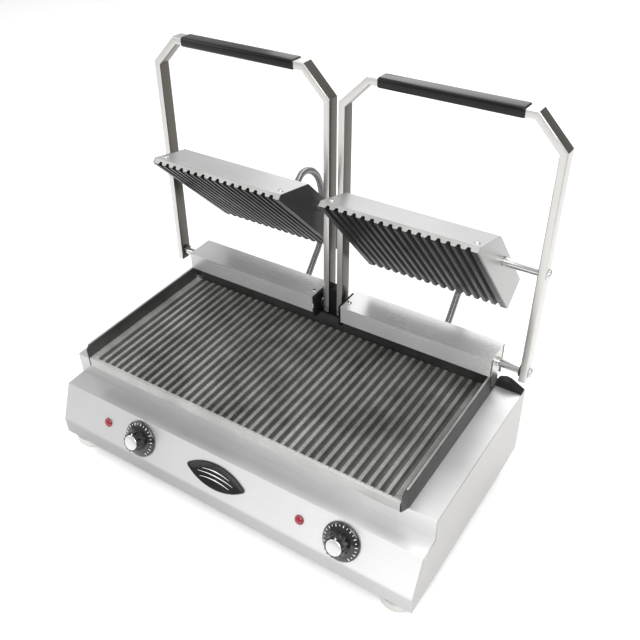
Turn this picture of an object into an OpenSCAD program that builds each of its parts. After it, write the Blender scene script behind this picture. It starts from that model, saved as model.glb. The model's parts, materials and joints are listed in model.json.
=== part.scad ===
// Double contact grill (panini press): one lower grill plate, two upper heads on sprung arms.
// Millimetres, +Z up, +X to the right seen from the front, -Y towards the user.
// Shapes are laid out from the bottom front edge of the casing, and place() moves them so that
// the origin is on the surface that the grill stands on, under the middle of the whole grill.

/* [Casing] */
// Width of the casing
base_w = 600; // [560:5:660]
// Depth of the casing
base_d = 326; // [320:1:340]
// Height of the casing top above the casing bottom
base_h = 116; // [112:0.5:120]
// Height of the vertical strip along the bottom of the front
strip_h = 25; // [15:1:35]
// Depth of the sloped control panel
panel_d = 24; // [15:1:30]
// Height of the front ledge above the control panel
ledge_h = 80.5; // [70:0.5:90]
// Distance from the front edge to the raised part of the casing
step_y = 55; // [45:1:60]
// Thickness of the stainless sheet
sheet = 1.2; // [0.8:0.1:1.5]

/* [Lower plate] */
// Width of the lower grill plate
plate_w = 531; // [526:1:534]
// Middle of the lower plate, to the right of the middle of the casing
plate_mid = -4; // [-5:0.5:-3]
// Depth of the lower grill plate
plate_d = 277; // [270:1:280]
// Distance from the front of the casing to the front of the plate
plate_y = 45; // [42:1:48]
// Height of the rib crests above the casing top
crest_h = 14.5; // [12:0.5:16]
// Height of the side rims above the casing top
rim_h = 34; // [28:1:36]
// Distance from rib to rib, on the lower and the upper plates
rib_pitch = 12.8; // [11:0.1:13]
// Depth of the grooves between the ribs
rib_h = 5; // [3:0.5:6]

/* [Hinge] */
// Height of the arm hinge above the casing bottom
hinge_z = 163.5; // [163:0.1:164]
// Distance of the arm hinge from the casing front
hinge_y = 308; // [306:0.5:309]
// Diameter of the hinge shafts and pivot rods
rod_d = 12; // [10:0.5:13]
// Height of the hinge box top above the casing bottom
box_top = 183; // [182:0.5:186]

/* [Arms] */
// Lean of the open arms behind the vertical, in degrees
arm_lean = 2.5; // [0:0.5:5]
// Height of the handle bar above the hinge, along the arm
arm_top = 354.5; // [330:0.5:380]
// Size of the 45 degree corners of the arm frame
arm_corner = 40; // [30:1:50]
// Width of the arm tube seen from the front
tube_w = 10; // [8:0.5:12]
// Depth of the arm tube seen from the side
tube_d = 20; // [18:0.5:22]
// Length of the grip sleeve
grip_l = 188; // [150:1:190]

/* [Heads] */
// Width of each head
head_w = 219; // [210:1:222]
// Distance from the hinge to the head's pivot rod, along the arm
pivot_r = 154.5; // [153:0.5:156]
// Front edge of the left head up from level, in degrees
left_tilt = 47; // [40:1:55]
// Front edge of the right head up from level, in degrees
right_tilt = 51; // [40:1:55]

/* [Controls] */
// Diameter of the thermostat dials
dial_d = 54; // [48:1:56]
// Distance of each lamp and dial pair from the middle of the casing
control_x = 170; // [150:5:180]
// Distance of the lamp and the dial from the middle of their pair
control_gap = 32; // [30:1:36]
// Distance of the middle of the controls and the badge from the middle of the casing
control_mid = -9.5; // [-12:0.5:12]
// Height of the feet below the casing
foot_h = 18; // [14:1:24]
// Diameter of the feet
foot_d = 50; // [40:1:52]

/* [Hidden] */
$fn = 48;

// Space left between a turning round and its hole, and between parts that only meet
fit = 0.05;
gap = 0.3;

// The middle of the whole grill, measured from the casing front
middle_y = 197.4;

steel = [0.80, 0.80, 0.78];
bright = [0.90, 0.90, 0.89];
iron = [0.42, 0.42, 0.41];
dark_iron = [0.22, 0.22, 0.23];
black = [0.07, 0.07, 0.08];
zinc = [0.62, 0.63, 0.64];

foot_x = 270;
foot_y = [24, 296];
gland_x = 268;
gland_z = 50;

// Control panel
panel_rise = ledge_h - strip_h;
panel_lean = atan(panel_d / panel_rise);
panel_len = norm([panel_d, panel_rise]);
ledge_rise = 1;
lamp_d = 14;
dial_lift = 1;
skirt_h = 3;
hub_h = 17;
hub_d = 36;
cap_d = 22;
spindle_d = 6;
badge_w = 104;
badge_h = 38;
badge_t = 2;

// Lower plate
rim_t = 5;
rim_draft = 1;
rim_back = 290;
shelf_h = 6;
rear_wall_h = 30;
rear_wall_t = 4;
rear_wall_y = 296;
rear_wall_x = 256.5;
corner_in = 4.7;
corner_back = 12;
front_bar = 5.5;
groove_n = 39;
element_d = 8;

// Hinge boxes and brackets
box_y = 281;
box_back = 328;
box_in = 25;
box_out = 261;
box_front_z = 155.3;
box_rear_z = 130;
bracket_t = 4;
bracket_back = 322;
outer_bracket_x = box_out - bracket_t - 0.2;
inner_bracket_x = box_in - bracket_t - 0.4;
bush_d = 18;
flange_l = 17;
screw_x = 30.5;
screw_y = 297;
spring_r = 11.5;
spring_wire = 4;
spring_turns = 11;
spring_x = 60;
spring_pitch = 5.2;
post_x = 5.9;
post_top = 192;
grommet_neck = 13;

// Arms
arm_in = 6.5;
arm_out = 305.5;
arm_mid = (arm_in + arm_out) / 2;
arm_foot = 13;
shaft_in = 0.5;
tube_wall = 1.5;
grip_t = 1.8;
nut_d = 16;
nut_h = 5;
washer_d = 19;
washer_t = 2;

// Heads, as distances from the pivot rod with the head level
head_x = 138.5;
head_front = 102.5;
head_back = 105.5;
head_crest = -32.3;
head_plate_top = -23.5;
ridge_y = 50;
ridge_z = 13.5;
back_z = 14.5;
upper_rib_n = 17;
lug_x = 84;
lug_t = 12;
lug_d = 30;
gland_d = 16;
gland_h = 7;
left_gland_y = 10;
right_gland_y = 60;

// Conduits from the backs of the hinge boxes, round the backs of the heads, to the heads' tops
conduit_d = 10.5;
conduit_sides = 10;
conduit_steps = 3;
left_grommet_x = -73;
right_grommet_x = 168;
grommet_z = 163;
left_gland_x = -84;
right_gland_x = 168;
socket = 2;
left_loop = [
    [-73.5, 341, 166.5], [-74.5, 351, 174.5], [-75.5, 366, 188.7], [-76.5, 381, 203],
    [-79, 393, 220], [-82, 402, 240], [-84, 403.8, 262], [-84, 403.3, 283],
    [-84, 400, 300], [-84, 393, 316], [-84, 380.5, 329.5], [-84, 367, 336.5], [-84, 354, 337.5]
];
right_loop = [
    [168.3, 341, 168.5], [168.5, 349, 178.5], [168.3, 360, 192.3], [168, 372, 206.5],
    [168, 386, 222], [168, 397, 239], [168, 402.7, 256], [168, 403.7, 269], [168, 402, 282],
    [168, 396.2, 291.8], [168, 387, 295.5]
];

function unit(v) = v / norm(v);
function side_of(a, b) = let (d = unit(b - a)) [d[1], -d[0]];
function corner_shift(n, m) = (n + m) / (1 + n * m);

// Points of an open path moved sideways to its right by t, with mitred corners
function beside(path, t) = let (last = len(path) - 1) [
    for (i = [0 : last])
        let (
            before = side_of(path[max(i - 1, 0)], path[max(i, 1)]),
            after = side_of(path[min(i, last - 1)], path[min(i + 1, last)])
        )
        path[i] + t * corner_shift(before, after)
];

function reversed(p) = [for (i = [len(p) - 1 : -1 : 0]) p[i]];

// Closed outline of a bent sheet that follows a path
function sheet_outline(path, t) = concat(path, reversed(beside(path, t)));

// A smooth curve through a list of points
function blend_at(a, b, c, d, t) =
    0.5 * (2 * b + (c - a) * t + (2 * a - 5 * b + 4 * c - d) * t * t
    + (3 * b - a - 3 * c + d) * t * t * t);
function smooth(p, steps) = let (last = len(p) - 1) concat(
    [
        for (i = [0 : last - 1])
            for (s = [0 : steps - 1])
                blend_at(p[max(i - 1, 0)], p[i], p[i + 1], p[min(i + 2, last)], s / steps)
    ],
    [p[last]]
);

// Height of the head's top above the pivot rod
function top_at(y) = ridge_z + (back_z - ridge_z) * (y + ridge_y) / (head_back + ridge_y);

// Where a point of the level head is when its arm is open, as distances in Y and Z
function head_point(tilt, y, z) = [
    hinge_y + pivot_r * sin(arm_lean) + y * cos(tilt) + z * sin(tilt),
    hinge_z + pivot_r * cos(arm_lean) - y * sin(tilt) + z * cos(tilt)
];

// Conduit from its grommet, through its loop, into the socket of the head's gland
function conduit_route(grommet_x, loop, gland_x, tilt, y) = let (
    mouth = top_at(y) + gland_h,
    near = head_point(tilt, y, mouth + 12),
    edge = head_point(tilt, y, mouth + 4),
    last = head_point(tilt, y, mouth - socket + gap)
) concat(
    [[grommet_x, box_back - 1, grommet_z], [grommet_x, box_back + 5, grommet_z + 0.5]], loop,
    [[gland_x, near[0], near[1]], [gland_x, edge[0], edge[1]], [gland_x, last[0], last[1]]]
);

// Round tube swept along a path
module swept_tube(path, d, sides) {
    last = len(path) - 1;
    rings = [
        for (i = [0 : last])
            let (
                way = unit(path[min(i + 1, last)] - path[max(i - 1, 0)]),
                out = unit(cross([1, 0, 0], way)),
                across = cross(way, out)
            )
            for (k = [0 : sides - 1])
                let (a = 360 * k / sides)
                path[i] + (out * cos(a) + across * sin(a)) * d / 2
    ];
    walls = [
        for (i = [0 : last - 1])
            for (k = [0 : sides - 1])
                let (n = (k + 1) % sides)
                [i * sides + k, i * sides + n, (i + 1) * sides + n, (i + 1) * sides + k]
    ];
    start = [[for (k = [sides - 1 : -1 : 0]) k]];
    end = [[for (k = [0 : sides - 1]) last * sides + k]];
    faces = concat(walls, start, end);
    polyhedron(rings, [for (f = faces) reversed(f)], convexity = 6);
}

// Moves the layout frame to the grill's own frame
module place() {
    translate([0, -middle_y, foot_h]) children();
}

// Extrudes a drawing made in Y and Z along X, from x0 for a length of w
module along_x(x0, w) {
    translate([x0, 0, 0]) rotate([90, 0, 90]) linear_extrude(w) children();
}

module rod_x(x0, x1, y, z, d) {
    translate([min(x0, x1), y, z]) rotate([0, 90, 0]) cylinder(d = d, h = abs(x1 - x0));
}

module block(x0, x1, y0, y1, z0, z1) {
    translate([x0, y0, z0]) cube([x1 - x0, y1 - y0, z1 - z0]);
}

module rounded_rect(w, h, r) {
    square([w - 2 * r, h], center = true);
    square([w, h - 2 * r], center = true);
    for (x = [-1, 1]) {
        for (y = [-1, 1]) {
            translate([x * (w / 2 - r), y * (h / 2 - r)]) circle(r = r);
        }
    }
}

// Puts a drawing made on the XY plane on the control panel, at its middle height
module on_panel(x) {
    along = panel_len / 2;
    translate([x, along * sin(panel_lean), strip_h + along * cos(panel_lean)])
        rotate([90 - panel_lean, 0, 0]) children();
}

module on_both_controls(offset) {
    for (s = [-1, 1]) {
        on_panel(control_mid + s * control_x + offset) children();
    }
}

// Leans a drawing made on upright arms, with the hinge at its origin
module on_arm() {
    translate([0, hinge_y, hinge_z]) rotate([-arm_lean, 0, 0]) children();
}

// Tilts a drawing made on a level head, with the pivot rod at its origin
module on_head(x, tilt) {
    on_arm() translate([x, 0, pivot_r]) rotate([arm_lean - tilt, 0, 0]) children();
}

// ---- Casing ----

front_path = [
    [14, 0], [0, 0], [0, strip_h], [panel_d, ledge_h], [step_y, ledge_h + ledge_rise],
    [step_y, base_h], [base_d - sheet, base_h]
];

module casing_outline() {
    polygon([
        [0, 0], [0, strip_h], [panel_d, ledge_h], [step_y, ledge_h + ledge_rise],
        [step_y, base_h], [base_d, base_h], [base_d, 0]
    ]);
}

module housing_shell() {
    half = base_w / 2 - sheet;
    color(bright) place() difference() {
        along_x(-half, 2 * half) polygon(sheet_outline(front_path, sheet));
        block(-half + 60, half - 60, plate_y + 25, plate_y + plate_d - 25, base_h - 10, base_h + 1);
        on_both_controls(control_gap) translate([0, 0, -5]) cylinder(d = spindle_d + 5, h = 10);
        on_both_controls(-control_gap) translate([0, 0, -5]) cylinder(d = lamp_d - 3, h = 10);
    }
}

module side_panel(x) {
    color(steel) place() along_x(x, sheet) casing_outline();
}

module left_side_panel() {
    side_panel(-base_w / 2);
}

module right_side_panel() {
    side_panel(base_w / 2 - sheet);
}

module at_feet() {
    for (x = [-foot_x, foot_x]) {
        for (y = foot_y) {
            translate([x, y, 0]) children();
        }
    }
}

module bottom_panel() {
    half = base_w / 2 - sheet;
    color(zinc) place() difference() {
        block(-half, half, 14 + gap, base_d - sheet, 0, sheet);
        at_feet() translate([0, 0, -1]) cylinder(d = 7, h = 5);
        for (x = [-200 : 20 : 200]) {
            block(x - 3, x + 3, 120, 220, -1, 5);
        }
    }
}

module rear_panel() {
    half = base_w / 2 - sheet;
    color(steel) place() difference() {
        block(-half, half, base_d - sheet, base_d, 0, base_h);
        for (x = [-220 : 16 : 220]) {
            block(x - 3, x + 3, base_d - 5, base_d + 5, 30, 70);
        }
        translate([gland_x, base_d + 5, gland_z]) rotate([90, 0, 0]) cylinder(d = 16 + 2 * fit, h = 10);
    }
}

module feet() {
    color([0.88, 0.88, 0.86]) place() at_feet() difference() {
        union() {
            translate([0, 0, -3]) cylinder(d = foot_d - 10, h = 3);
            translate([0, 0, -foot_h + 3]) cylinder(d = foot_d, h = foot_h - 6);
            translate([0, 0, -foot_h]) cylinder(d1 = foot_d - 6, d2 = foot_d, h = 3);
        }
        translate([0, 0, -foot_h - 1]) cylinder(d = 14, h = 8);
        translate([0, 0, -foot_h]) cylinder(d = 6.4, h = foot_h + 1);
    }
}

module foot_screws() {
    color(zinc) place() at_feet() {
        translate([0, 0, -foot_h + 3]) cylinder(d = 11, h = 4 - gap);
        translate([0, 0, -foot_h + 3]) cylinder(d = 6, h = foot_h + 5);
    }
}

// Blocks on the rear corners of the casing, each with a low strip that runs to the side
module corner_blocks() {
    side = base_w / 2 - 1;
    color(black) place() for (s = [-1, 1]) {
        near = plate_w / 2 + s * plate_mid + 0.5;
        translate([0, 324, base_h]) rotate([90, 0, 0]) linear_extrude(12)
            polygon([
                [s * near, 0], [s * near, 10], [s * (near + 10), 14], [s * (near + 17), 13],
                [s * side, 2], [s * side, 0]
            ]);
    }
}

module cord_gland() {
    color(black) place() translate([gland_x, base_d, gland_z]) rotate([-90, 0, 0]) difference() {
        union() {
            cylinder(d = 22, h = 4, $fn = 6);
            cylinder(d1 = 17, d2 = 13, h = 14);
            translate([0, 0, -sheet - 8]) cylinder(d = 16, h = sheet + 9);
        }
        translate([0, 0, -20]) cylinder(d = 8, h = 40);
    }
}

module terminal_block() {
    color([0.85, 0.84, 0.80]) place() difference() {
        block(215, 265, 250, 275, sheet, 22);
        for (x = [223 : 11 : 257]) {
            translate([x, 262, 12]) cylinder(d = 5, h = 20);
        }
    }
}

// ---- Controls on the panel ----

module thermostats() {
    color(zinc) place() on_both_controls(control_gap) {
        difference() {
            translate([-20, -16, -sheet - 26 - gap]) cube([40, 32, 26]);
            translate([0, 0, -sheet - 20]) cylinder(d = spindle_d + 2 * fit, h = 30);
        }
    }
}

module indicator_lamps() {
    color([0.75, 0.08, 0.15]) place() on_both_controls(-control_gap) {
        intersection() {
            translate([0, 0, -3.5]) sphere(d = lamp_d + 2);
            cylinder(d = lamp_d, h = 10);
        }
        translate([0, 0, -12]) cylinder(d = lamp_d - 3.4, h = 12);
    }
}

module badge_plate() {
    arc = (badge_w * badge_w + badge_h * badge_h) / (4 * badge_h);
    color(black) place() on_panel(control_mid) linear_extrude(badge_t) intersection() {
        translate([0, arc - badge_h / 2]) circle(r = arc, $fn = 96);
        translate([0, badge_h / 2 - arc]) circle(r = arc, $fn = 96);
        circle(d = badge_w - 4, $fn = 96);
    }
}

module dial(x) {
    color(black) place() on_panel(x) difference() {
        union() {
            translate([0, 0, dial_lift]) cylinder(d1 = dial_d, d2 = dial_d - 3, h = skirt_h);
            translate([0, 0, dial_lift]) cylinder(d = hub_d, h = skirt_h + hub_h);
            for (k = [0 : 11]) {
                rotate([0, 0, 30 * k]) translate([hub_d / 2, 0, dial_lift])
                    cylinder(d = 3, h = skirt_h + hub_h - 2);
            }
        }
        translate([0, 0, dial_lift - 1]) cylinder(d = spindle_d, h = 13);
        translate([0, 0, dial_lift + skirt_h + hub_h - 1]) cylinder(d = cap_d, h = 2);
    }
}

module dial_cap(x) {
    color(steel) place() on_panel(x) translate([0, 0, dial_lift + skirt_h + hub_h - 1])
        cylinder(d = cap_d - 2 * fit, h = 2);
}

module dial_spindle(x) {
    color(zinc) place() on_panel(x) translate([0, 0, -14]) cylinder(d = spindle_d, h = 26);
}

module left_dial() {
    dial(control_mid - control_x + control_gap);
}

module left_dial_cap() {
    dial_cap(control_mid - control_x + control_gap);
}

module left_dial_spindle() {
    dial_spindle(control_mid - control_x + control_gap);
}

module right_dial() {
    dial(control_mid + control_x + control_gap);
}

module right_dial_cap() {
    dial_cap(control_mid + control_x + control_gap);
}

module right_dial_spindle() {
    dial_spindle(control_mid + control_x + control_gap);
}

// ---- Lower plate and its heating ----

// Groove cross-section from left crest to right crest, open at the top
function groove_points(x, crest, depth, way) = [
    [x - way * 3.9, crest], [x - way * 1.7, crest - depth],
    [x + way * 1.7, crest - depth], [x + way * 3.9, crest]
];

function flatten(l) = [for (a = l) for (b = a) b];

module lower_plate_section() {
    w = plate_w / 2;
    crest = base_h + crest_h;
    rim = base_h + rim_h;
    first = -(groove_n - 1) / 2 * rib_pitch;
    grooves = flatten([
        for (i = [0 : groove_n - 1]) groove_points(first + i * rib_pitch, crest, rib_h, 1)
    ]);
    polygon(concat(
        [[-w, base_h], [-w, rim], [-w + rim_t, rim], [-w + rim_t + rim_draft, crest]],
        grooves,
        [[w - rim_t - rim_draft, crest], [w - rim_t, rim], [w, rim], [w, base_h]]
    ));
}

// Ribbed plate with a plain front edge, side rims, and a wall and a shelf behind the ribs
module lower_plate() {
    w = plate_w / 2;
    back = plate_y + plate_d;
    shelf = base_h + shelf_h;
    color(iron) place() translate([plate_mid, 0, 0]) difference() {
        union() {
            difference() {
                translate([0, back, 0]) rotate([90, 0, 0]) linear_extrude(plate_d) lower_plate_section();
                block(-w + rim_t, w - rim_t, rear_wall_y, back + 1, shelf, base_h + rim_h + 1);
                block(-w - 1, w + 1, rim_back, back + 1, shelf, base_h + rim_h + 1);
            }
            block(
                -w + rim_t + rim_draft, w - rim_t - rim_draft, plate_y, plate_y + front_bar,
                base_h + 1, base_h + crest_h
            );
            block(
                -rear_wall_x - plate_mid, rear_wall_x - plate_mid,
                rear_wall_y, rear_wall_y + rear_wall_t, shelf - 1, base_h + rear_wall_h
            );
        }
        for (s = [-1, 1]) {
            translate([0, 0, base_h - 1]) linear_extrude(rim_h + 2) polygon([
                [s * (w - corner_in), plate_y - 1], [s * (w - corner_in), plate_y],
                [s * w, plate_y + corner_back], [s * (w + 1), plate_y + corner_back],
                [s * (w + 1), plate_y - 1]
            ]);
            along_x(s * (w - rim_t) - rim_t - 1, 2 * rim_t + 2) polygon([
                [plate_y - 1, base_h + rim_h - 5], [plate_y, base_h + rim_h - 5],
                [plate_y + 8, base_h + rim_h], [plate_y + 8, base_h + rim_h + 1],
                [plate_y - 1, base_h + rim_h + 1]
            ]);
        }
    }
}

// Tubular heater bent into n runs, each as long as l, spaced s apart, drawn around the origin
module heater(l, s, n) {
    for (i = [0 : n - 1]) {
        y = (i - (n - 1) / 2) * s;
        translate([-l / 2, y, 0]) rotate([0, 90, 0]) cylinder(d = element_d, h = l);
    }
    for (i = [0 : n - 2]) {
        y = (i - (n - 2) / 2) * s;
        x = (i % 2 == 0) ? l / 2 : -l / 2;
        translate([x, y, 0]) rotate([0, 0, (i % 2 == 0) ? -90 : 90])
            rotate_extrude(angle = 180) translate([s / 2, 0]) circle(d = element_d);
    }
}

module lower_elements() {
    color(dark_iron) place() for (x = [-118, 118]) {
        translate([x, 180, base_h - element_d / 2 - gap]) heater(150, 44, 4);
    }
}

module element_clamps() {
    top = base_h - element_d - 2 * gap;
    color(zinc) place() for (x = [-118, 118]) {
        block(x - 12, x + 12, 95, 265, top - 3, top);
    }
}

module heat_shield() {
    color(steel) place() difference() {
        block(-232, 232, 75, 294, 88, 104);
        block(-231, 231, 76, 293, 89, 105);
    }
}

// ---- Hinge boxes ----

box_path = [[box_y, box_front_z], [box_y, box_top], [box_back, box_top], [box_back, box_rear_z]];

module box_cover(x0, screw, grommet) {
    color(bright) place() difference() {
        along_x(x0, box_out - box_in) polygon(sheet_outline(box_path, sheet));
        translate([screw, screw_y, box_top - 5]) cylinder(d = 4.4, h = 10);
        on_box_back(grommet) translate([0, 0, -5]) cylinder(d = grommet_neck + 2 * fit, h = 10);
    }
}

// Puts a drawing on the back of a hinge box, with +Z pointing away from it
module on_box_back(x) {
    translate([x, box_back, grommet_z]) rotate([-90, 0, 0]) children();
}

module left_box_cover() {
    box_cover(-box_out, -screw_x, left_grommet_x);
}

module right_box_cover() {
    box_cover(box_in, screw_x, right_grommet_x);
}

// Hinge bracket with its foot and its front edge at front, its near side at x, turned into the box
// on side s
module bracket(x, s, inward, front, tab) {
    foot = base_h + shelf_h;
    behind = rear_wall_y + rear_wall_t + 1;
    start = inward > 0 ? x : x - flange_l + bracket_t;
    difference() {
        union() {
            block(x, x + bracket_t, front, bracket_back, base_h + rear_wall_h + 1, box_top - sheet);
            block(x, x + bracket_t, behind, bracket_back - 5.5, foot, box_top - 10);
            block(start, start + flange_l, behind, behind + 14, foot, foot + 3);
            if (tab) {
                block(
                    start, start + flange_l, screw_y - 5, screw_y + 6,
                    box_top - sheet - 3, box_top - sheet
                );
            }
        }
        rod_x(x - 5, x + bracket_t + 5, hinge_y, hinge_z, bush_d);
        translate([s * screw_x, screw_y, box_top - 10]) cylinder(d = 4 + 2 * fit, h = 12);
    }
}

module outer_brackets() {
    front = rim_back + gap;
    color(steel) place() {
        bracket(outer_bracket_x, 1, -1, front, false);
        bracket(-outer_bracket_x - bracket_t, -1, 1, front, false);
    }
}

module inner_brackets() {
    front = box_y + sheet + gap;
    color(black) place() {
        bracket(inner_bracket_x, 1, 1, front, true);
        bracket(-inner_bracket_x - bracket_t, -1, -1, front, true);
    }
}

module hinge_bushes() {
    color([0.72, 0.60, 0.35]) place() {
        for (x = [
            outer_bracket_x, -outer_bracket_x - bracket_t, inner_bracket_x, -inner_bracket_x - bracket_t
        ]) {
            difference() {
                rod_x(x, x + bracket_t, hinge_y, hinge_z, bush_d);
                rod_x(x - 1, x + bracket_t + 1, hinge_y, hinge_z, rod_d + 2 * fit);
            }
        }
    }
}

// Block between the hinge boxes, with a post between the arms that carries both hinge shafts
module centre_block() {
    foot = base_h + shelf_h;
    behind = rear_wall_y + rear_wall_t + 0.5;
    color(black) place() difference() {
        union() {
            block(-inner_bracket_x + gap, inner_bracket_x - gap, behind, 316.5, foot, foot + 24);
            block(-post_x, post_x, behind, 318, foot, post_top);
        }
        rod_x(-post_x - 1, post_x + 1, hinge_y, hinge_z, rod_d + 2 * fit);
    }
}

module box_screws() {
    color(bright) place() for (x = [-screw_x, screw_x]) {
        translate([x, screw_y, box_top]) cylinder(d1 = 8, d2 = 6, h = 2);
        translate([x, screw_y, box_top - 9]) cylinder(d = 4, h = 9);
    }
}

module conduit_grommets() {
    color(black) place() for (x = [left_grommet_x, right_grommet_x]) {
        on_box_back(x) difference() {
            union() {
                cylinder(d = 18, h = 4);
                translate([0, 0, -sheet]) cylinder(d = grommet_neck, h = sheet + 1);
                translate([0, 0, -sheet - 1.8]) cylinder(d = 16, h = 1.8);
            }
            translate([0, 0, -6]) cylinder(d = conduit_d + 0.6, h = 12);
            cylinder(d1 = conduit_d + 0.6, d2 = conduit_d + 4, h = 4.1);
        }
    }
}

module left_conduit() {
    route = conduit_route(left_grommet_x, left_loop, left_gland_x, left_tilt, left_gland_y);
    color(bright) place() swept_tube(smooth(route, conduit_steps), conduit_d, conduit_sides);
}

module right_conduit() {
    route = conduit_route(right_grommet_x, right_loop, right_gland_x, right_tilt, right_gland_y);
    color(bright) place() swept_tube(smooth(route, conduit_steps), conduit_d, conduit_sides);
}

// Coiled torsion spring around the hinge shaft, with a straight leg down to the plate's rear wall
module torsion_spring(s) {
    sides = 6;
    per_turn = 14;
    n = spring_turns * per_turn;
    leg = hinge_z - base_h - shelf_h - 1;
    foot = [
        for (k = [0 : sides - 1])
            let (b = 360 * k / sides)
            [
                spring_x + spring_wire / 2 * sin(b),
                hinge_y + spring_r + spring_wire / 2 * cos(b), hinge_z - leg
            ]
    ];
    coil = [
        for (i = [0 : n])
            let (a = 360 * i / per_turn)
            for (k = [0 : sides - 1])
                let (b = 360 * k / sides, r = spring_r + spring_wire / 2 * cos(b))
                [
                    spring_x + spring_pitch * i / per_turn + spring_wire / 2 * sin(b),
                    hinge_y + r * cos(a), hinge_z + r * sin(a)
                ]
    ];
    walls = [
        for (i = [0 : n])
            for (k = [0 : sides - 1])
                let (m = (k + 1) % sides)
                [i * sides + k, (i + 1) * sides + k, (i + 1) * sides + m, i * sides + m]
    ];
    mirror([s < 0 ? 1 : 0, 0, 0]) polyhedron(
        concat(foot, coil),
        concat(
            walls,
            [[for (k = [0 : sides - 1]) k]],
            [[for (k = [sides - 1 : -1 : 0]) (n + 1) * sides + k]]
        ),
        convexity = 12
    );
}

module left_spring() {
    color(zinc) place() torsion_spring(-1);
}

module right_spring() {
    color(zinc) place() torsion_spring(1);
}

// ---- Arms ----

function arm_path(x0, x1, inset) = [
    [x0 + inset, -arm_foot], [x0 + inset, arm_top - arm_corner], [x0 + arm_corner, arm_top - inset],
    [x1 - arm_corner, arm_top - inset], [x1 - inset, arm_top - arm_corner], [x1 - inset, -arm_foot]
];

// Upright arm frame between x0 and x1
module arm_frame(x0, x1) {
    outer = [
        [x0, -arm_foot], [x0, arm_top - arm_corner], [x0 + arm_corner, arm_top],
        [x1 - arm_corner, arm_top], [x1, arm_top - arm_corner], [x1, -arm_foot]
    ];
    bore_path = beside(outer, tube_wall);
    open_bore = concat(
        [bore_path[0] - [0, 1]], [for (i = [1 : 4]) bore_path[i]], [bore_path[5] - [0, 1]]
    );
    color(steel) place() difference() {
        on_arm() translate([0, tube_d / 2, 0]) rotate([90, 0, 0]) linear_extrude(tube_d)
            polygon(sheet_outline(outer, tube_w));
        on_arm() translate([0, tube_d / 2 - tube_wall, 0]) rotate([90, 0, 0])
            linear_extrude(tube_d - 2 * tube_wall)
                polygon(sheet_outline(open_bore, tube_w - 2 * tube_wall));
        on_arm() rod_x(x0 - 1, x1 + 1, 0, 0, rod_d);
        on_arm() rod_x(x0 - 1, x1 + 1, 0, pivot_r, rod_d);
    }
}

module grip(x) {
    color(black) place() on_arm() translate([x - grip_l / 2, 0, arm_top - tube_w / 2])
        rotate([90, 0, 90]) linear_extrude(grip_l) difference() {
            rounded_rect(tube_d + 2 * grip_t, tube_w + 2 * grip_t, 3.5);
            square([tube_d, tube_w], center = true);
        }
}

module arm_rod(x0, x1, along) {
    color(bright) place() on_arm() rod_x(x0, x1, 0, along, rod_d);
}

// Hinge shaft with the collar that holds its spring, s is its side
module hinge_shaft(s) {
    x = spring_x + spring_turns * spring_pitch + 4;
    arm_rod(s * shaft_in, s * arm_out, 0);
    color(bright) place() on_arm() rod_x(s * x, s * (x + 12), 0, 0, 22);
}

// Washers beside the brackets, on the box side of each arm
module hinge_washers(s) {
    color(black) place() on_arm() {
        for (x = [arm_in + tube_w, arm_out - tube_w - washer_t]) {
            x0 = s > 0 ? x : -x - washer_t;
            difference() {
                rod_x(x0, x0 + washer_t, 0, 0, washer_d);
                rod_x(x0 - 1, x0 + washer_t + 1, 0, 0, rod_d + 2 * fit);
            }
        }
    }
}

module dome_nut(x, along, way) {
    translate([x, 0, along]) rotate([0, way * 90, 0]) {
        cylinder(d = nut_d, h = 2);
        intersection() {
            translate([0, 0, -4]) sphere(d = nut_d + 2);
            cylinder(d = nut_d, h = nut_h);
        }
    }
}

module dome_nuts(s) {
    color(bright) place() on_arm() {
        dome_nut(s * arm_out, 0, s);
        dome_nut(s * arm_out, pivot_r, s);
        dome_nut(s * arm_in, pivot_r, -s);
    }
}

module left_arm_frame() {
    arm_frame(-arm_out, -arm_in);
}

module left_grip() {
    grip(-arm_mid);
}

module left_hinge_shaft() {
    hinge_shaft(-1);
}

module left_hinge_washers() {
    hinge_washers(-1);
}

module left_pivot_rod() {
    arm_rod(-arm_out, -arm_in, pivot_r);
}

module left_dome_nuts() {
    dome_nuts(-1);
}

module right_arm_frame() {
    arm_frame(arm_in, arm_out);
}

module right_grip() {
    grip(arm_mid);
}

module right_hinge_shaft() {
    hinge_shaft(1);
}

module right_hinge_washers() {
    hinge_washers(1);
}

module right_pivot_rod() {
    arm_rod(arm_in, arm_out, pivot_r);
}

module right_dome_nuts() {
    dome_nuts(1);
}

// ---- Heads ----

cover_path = [
    [-head_front, head_plate_top], [-ridge_y, ridge_z], [head_back, back_z],
    [head_back, head_plate_top - 4]
];

module head_cover(x, tilt, gland_x, gland_y) {
    half = head_w / 2 - sheet;
    color(bright) place() on_head(x, tilt) difference() {
        along_x(-half, 2 * half) polygon(sheet_outline(cover_path, sheet));
        block(-half - 1, half + 1, -head_front - 5, 0, head_crest, head_plate_top - gap + fit);
        translate([gland_x - x, gland_y, ridge_z - 5]) cylinder(d = 10, h = 12);
        for (s = [-1, 1]) {
            on_slope(s) translate([0, 0, -4]) cylinder(d = 4.4, h = 8);
        }
    }
}

// Puts a drawing on the front slope of the head, near its end
module on_slope(s) {
    slope = atan((ridge_z - head_plate_top) / (head_front - ridge_y));
    translate([s * (head_w / 2 - 10), -head_front + 12 * cos(slope), head_plate_top + 12 * sin(slope)])
        rotate([slope, 0, 0]) children();
}

module head_sides(x, tilt) {
    color(steel) place() on_head(x, tilt) for (s = [-1, 1]) {
        x0 = s > 0 ? head_w / 2 - sheet : -head_w / 2;
        difference() {
            along_x(x0, sheet) polygon([
                [-head_front, head_crest + 1], [-head_front, head_plate_top], [-ridge_y, ridge_z],
                [head_back, back_z], [head_back, head_crest + 1]
            ]);
            rod_x(x0 - 1, x0 + sheet + 1, 0, 0, rod_d + 1);
        }
    }
}

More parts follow.
